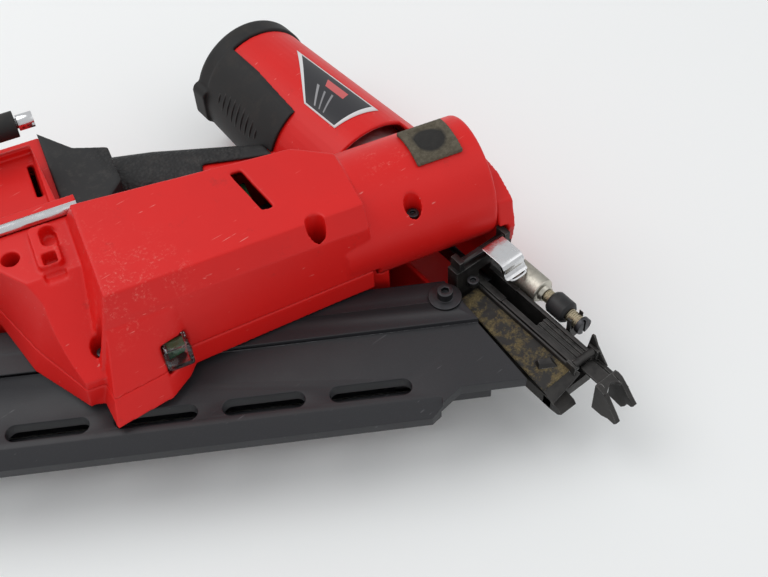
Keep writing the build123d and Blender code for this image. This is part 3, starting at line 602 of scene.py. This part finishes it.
def latch():
    """Bright sprung plate with a bent lip, its dark lever arm and the wire bail under it."""
    path = [(101.6, 26.3), (99.6, 27.4), (86.0, 27.4), (83.6, 26.6), (82.2, 24.6), (81.6, 21.8),
            (80.4, 19.9), (78.6, 19.2)]
    thickness = 1.3
    under = [(y + (thickness if z < 26.4 and y < 90 else 0.0), z - (thickness if z > 24 or y > 90 else 0.6))
             for y, z in reversed(path)]
    outline = path + under
    rings = []
    for x, narrow in ((-1.0, 0.6), (0.2, 0.0), (12.8, 0.0), (14.0, 0.6)):
        rings.append([drive(x, y + (narrow if y < 82 else -narrow if y > 100 else 0), z) for y, z in outline])
    mesh = ring_mesh("latch_plate", rings)
    plate = new_piece("latch_plate", mesh, BRIGHT, "latch", "zinc_steel", "nose_latch")
    bevel_edges(plate, 0.35)
    arm_top = [(-14, 99.6, 26.2), (-13.4, 101.8, 26.2), (-1, 102.8, 27.2), (-1, 98.2, 27.2)]
    mesh = sheet_mesh("latch_arm", arm_top, 2.2, drive)
    arm = new_piece("latch_arm", mesh, BLACK_STEEL, "latch", "dark_steel")
    bevel_edges(arm, 0.3)
    wire = bpy.data.curves.new("latch_bail", "CURVE")
    wire.dimensions = "3D"
    wire.bevel_depth = 0.0007
    wire.bevel_resolution = 4
    route = [(0.8, 84, 21.4), (0.8, 80.4, 19.0), (1.4, 78.2, 18.6), (4.0, 77.4, 18.6), (9.4, 77.4, 18.6),
             (11.8, 78.2, 18.6), (12.4, 80.4, 19.0), (12.4, 84, 21.4)]
    spline = wire.splines.new("NURBS")
    spline.points.add(len(route) - 1)
    for point, place in zip(spline.points, route):
        point.co = (*drive(*place), 1)
    spline.order_u = 3
    spline.use_endpoint_u = True
    bail = bpy.data.objects.new("latch_bail", wire)
    bpy.context.scene.collection.objects.link(bail)
    wire.materials.append(BRIGHT)
    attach(bail, "latch")


def knurl(y, angle):
    """Crossed ridges round the depth wheel, none near its ends or on its collar."""
    if not KNURL_SPAN[0] < y < KNURL_SPAN[1]:
        return 0.0
    turns = KNURL_RIDGES * angle
    lift = min(abs(math.sin(turns + KNURL_SLOPE * y)), abs(math.sin(turns - KNURL_SLOPE * y)))
    return 0.32 * lift - 0.30


def thread(y, angle):
    """Groove of the stud's thread."""
    return -THREAD_DEPTH * (0.5 + 0.5 * math.cos(2 * math.pi * y / THREAD_PITCH - angle))


def depth_adjuster():
    """Knurled wheel with its collar, chamfered rubber sleeve and threaded stud."""
    outer = [(67 + 0.3 * step, 7.2) for step in range(66)]
    profile = [(63.4, 3.6), (63.4, 4.3), (63.8, 4.6), (65.8, 4.6), (66.0, 5.0), (66.1, 6.5), (66.8, 7.1)]
    profile += outer + [(87.2, 7.0), (87.6, 6.5), (87.6, 1.8), (84, 1.8), (84, 3.6), (63.4, 3.6)]
    wheel = turned("depth_wheel_knurl", profile, ADJUST, 216, knurl)
    new_piece("depth_wheel_knurl", wheel, NICKEL, "depth_adjuster", "chrome_rod", "depth_wheel")
    cover = [(46, 3.5), (46, 5.2), (46.3, 5.5), (47.6, 6.6), (57.2, 6.6), (58.7, 5.6), (59, 5.2), (59, 3.5),
             (46, 3.5)]
    mesh = turned("sleeve_chamfered", cover, ADJUST, 48)
    sleeve = new_piece("sleeve_chamfered", mesh, MOULDING, "work_contact", "black_rubber",
                       "adjuster_sleeve")
    bevel_edges(sleeve, 0.2)
    for name, span in (("stud_thread_front", (38.1, 45.9)), ("stud_thread_back", (59.1, 63.2))):
        steps = int((span[1] - span[0]) / THREAD_STEP)
        rows = [(span[0] + THREAD_STEP * step, THREAD_RADIUS) for step in range(steps + 1)]
        screw = turned(name, [(span[0], 3.4)] + rows + [(rows[-1][0], 3.4)], ADJUST, 40, thread)
        new_piece(name, screw, BRASS_STEEL, "work_contact", "dark_steel")


def contact_claw():
    """Work tip: two pointed cheeks under a cut-away bridge, side plate, fin and stud bracket."""
    right = [(6, -10.5), (6, 9.2), (4, 10.0), (1, 9.4), (-4, 5.6), (-8.4, 1.8), (-11.8, -0.4), (-10.4, -2.4),
             (-7.4, -3.6), (-6.2, -7.2), (-4, -10.5)]
    left = [(6, -11), (6, 8.6), (4, 9.6), (-1, 6.6), (-4.6, 1.2), (-8.2, -4.2), (-10.6, -8.4), (-9.4, -10.2),
            (-5, -9.4), (-1, -11)]
    bridge = [(-7.3, 6, 9.4), (7.3, 6, 9.8), (7.1, 2.2, 9.4), (4.6, -1.4, 7.9), (2.6, 1.2, 8.6),
              (0, 2.6, 8.9), (-3.4, 0.6, 8.4), (-6.6, -1.2, 7.4), (-7.3, 2.0, 8.6)]
    side = [(43, -5.6), (43, 3.6), (12, 4.1), (4, 4.1), (-3, 3.0), (-3, -5)]
    fin = [(12.5, 3.6), (27.5, 3.6), (25.4, 18.6), (23.6, 19.2), (20.8, 13.6)]
    pieces = [side_plate("right", right, (4.4, 7.4), -1.2),
              side_plate("left", left, (-7.4, -4.4), 1.0),
              sheet_mesh("bridge", bridge, 2.2, drive),
              side_plate("side", side, (6.7, 8.8)),
              side_plate("fin", fin, (8.4, 9.6)),
              bar_mesh("neck", (-4.1, 4.1), (4, 19.5), (5.7, 7.2)),
              bar_mesh("foot", (8.6, 18), (40.2, 43), (-2, 6.6)),
              bar_mesh("post", (8.6, 9.6), (40.2, 43), (-2, 14.6)),
              bar_mesh("post", (17.4, 18), (40.2, 43), (-2, 14.6))]
    mesh = joined("contact_claw", pieces)
    claw = new_piece("contact_claw", mesh, NOSE, "work_contact", "zinc_steel", "contact_tip")
    bevel_edges(claw, 0.3)


def nose_cover():
    """Dusty sheet over the nails' way in, then its trim: folded end, lug, lower claw and ridge."""
    rows, columns = 60, 24
    inner = -7.7
    rings = []
    for row in range(rows + 1):
        y = 22 + 72 * row / rows
        outer = -27.5 + 6.5 * row / rows
        ring = []
        for column in range(columns + 1):
            share = column / columns
            wave = 0.22 * math.sin(0.55 * y + 5 * share) + 0.16 * math.sin(1.3 * y - 9 * share)
            level = 7.2 - 1.6 * share + wave * share * (1 - share) * 3
            ring.append(drive(inner + (outer - inner) * share, y, level))
        for column in range(columns, -1, -1):
            share = column / columns
            ring.append(drive(inner + (outer - inner) * share, y, 5.9 - 1.2 * share))
        rings.append(ring)
    new_piece("nose_dust_cover", ring_mesh("nose_dust_cover", rings), SAWDUST, "tool", "zinc_steel")
    fold = [(-25.5, 16.5, -2.0), (-6.0, 17.5, 6.4), (-6.6, 22.5, 7.3), (-27.0, 23.5, 5.6)]
    lip = sheet_mesh("lip", fold, 1.4, drive)
    lug_foot = ((-21, 33, 6.2), (-12, 27, 6.4), (-10.5, 34, 6.6), (-19, 38, 6.2))
    lug_top = ((-19.5, 34, 9.0), (-13.5, 30, 8.6), (-12.5, 33.5, 8.8), (-18.5, 36.5, 9.2))
    lug = ring_mesh("lug", [[drive(*point) for point in ring] for ring in (lug_foot, lug_top)])
    claw_side = [(26, -14), (26, -6.5), (20, -6.8), (14, -8.2), (12.2, -10.6), (14.6, -13), (20, -14)]
    claw = side_plate("claw", claw_side, (-23, -12))
    ridge = profile_bar("ridge", [(-9.6, 6.0), (-9.2, 9.2), (-8.4, 9.8), (-7.8, 9.4), (-7.7, 6.0)], (19, 97))
    mesh = joined("nose_trim", [lip, lug, claw, ridge])
    trim = new_piece("nose_trim", mesh, NOSE, "tool", "zinc_steel")
    bevel_edges(trim, 0.3)


def barrel_label():
    """Blank printed label that follows the barrel's cone."""
    corners = {          # distance along the drive line, and degrees round the barrel
        "far_right": (290.5, 23.6), "near_right": (213.1, 26.7),
        "near_left": (215.8, -16.1), "far_left": (245.5, -16.8),
    }
    steps = 24
    points, uvs, faces = [], [], []
    for row in range(steps + 1):
        for column in range(steps + 1):
            u, v = column / steps, row / steps
            low = [(1 - u) * p + u * q for p, q in zip(corners["near_left"], corners["near_right"])]
            high = [(1 - u) * p + u * q for p, q in zip(corners["far_left"], corners["far_right"])]
            y, degrees = [(1 - v) * p + v * q for p, q in zip(low, high)]
            radius = barrel_radius(y) + LABEL_LIFT
            angle = math.radians(degrees)
            points.append(drive(radius * math.sin(angle), y, radius * math.cos(angle)))
            uvs.append((u, v))
    for row in range(steps):
        for column in range(steps):
            first = row * (steps + 1) + column
            faces.append((first, first + 1, first + steps + 2, first + steps + 1))
    mesh = bpy.data.meshes.new("barrel_label")
    mesh.from_pydata([tuple(point) for point in points], [], faces)
    layer = mesh.uv_layers.new(name="UVMap")
    for loop in mesh.loops:
        layer.data[loop.index].uv = uvs[loop.vertex_index]
    label = new_piece("barrel_label", mesh, LABEL, "tool", "red_plastic")
    solid = label.modifiers.new("film", "SOLIDIFY")
    solid.thickness = 0.0002
    solid.offset = 1.0


def cap_ribs():
    """Short raised ribs in an oval on the side of the barrel guard."""
    ribs = []
    for number in range(9):
        y = 264 + 5.2 * number
        reach = 26 * math.sqrt(max(0.06, 1 - ((number - 4) / 4.4) ** 2))
        radius = barrel_radius(y) + RIB_SEAT
        rings = []
        for step in range(13):
            angle = math.radians(-66 - reach / 2 + reach * step / 12)
            lift = 0.8 * math.sin(math.pi * step / 12)
            ring = []
            for dy, dr in ((-0.9, 0.0), (-0.5, 0.7), (0.5, 0.7), (0.9, 0.0)):
                r = radius + dr * lift
                ring.append(drive(r * math.sin(angle), y + dy, r * math.cos(angle)))
            rings.append(ring)
        ribs.append(ring_mesh("rib", rings))
    new_piece("cap_ribs", joined("cap_ribs", ribs), RUBBER, "tool", "black_rubber")


# ---------------------------------------------------------------- stage, light, camera
def camera():
    data = bpy.data.cameras.new("camera")
    data.sensor_width = 36
    data.lens = 54.14
    data.clip_start = 0.01
    obj = bpy.data.objects.new("camera", data)
    bpy.context.scene.collection.objects.link(obj)
    forward = Vector((0.36401551, 0.506184, -0.78183788))
    up = Vector((0.50923664, 0.59468776, 0.62211294))
    right = forward.cross(up)
    turn = Matrix((right, up, -forward)).transposed()
    obj.matrix_world = Matrix.Translation(tool(-281.85, -194.28, 501.90)) @ turn.to_4x4()
    bpy.context.scene.camera = obj


def area_light(name, place, target, size, power):
    data = bpy.data.lights.new(name, "AREA")
    data.shape = "DISK"
    data.size = size
    data.energy = power
    obj = bpy.data.objects.new(name, data)
    bpy.context.scene.collection.objects.link(obj)
    obj.location = place
    obj.rotation_euler = (Vector(target) - Vector(place)).to_track_quat("-Z", "Y").to_euler()


def stage():
    bpy.ops.mesh.primitive_plane_add(size=12, location=(0, 0, 0))
    floor = bpy.context.object
    floor.name = "floor"
    look = Look("floor_paper", (0.93, 0.94, 0.935), 0.8, specular=0.2)
    look.vary(look.noise(3.0), 0.05)
    floor.data.materials.append(look.done())
    world = bpy.data.worlds.new("studio")
    world.use_nodes = True
    world.node_tree.nodes["Background"].inputs["Color"].default_value = (0.97, 0.985, 1.0, 1)
    world.node_tree.nodes["Background"].inputs["Strength"].default_value = 0.67
    bpy.context.scene.world = world
    bpy.context.scene.view_settings.view_transform = "Standard"
    area_light("key", (-0.45, 0.75, 1.5), (0, 0, 0), 1.4, 9)
    area_light("fill", (0.9, -0.7, 1.4), (0, 0, 0), 1.4, 3)


dress_cad()
nose_door()
latch()
depth_adjuster()
contact_claw()
nose_cover()
barrel_label()
cap_ribs()
camera()
stage()
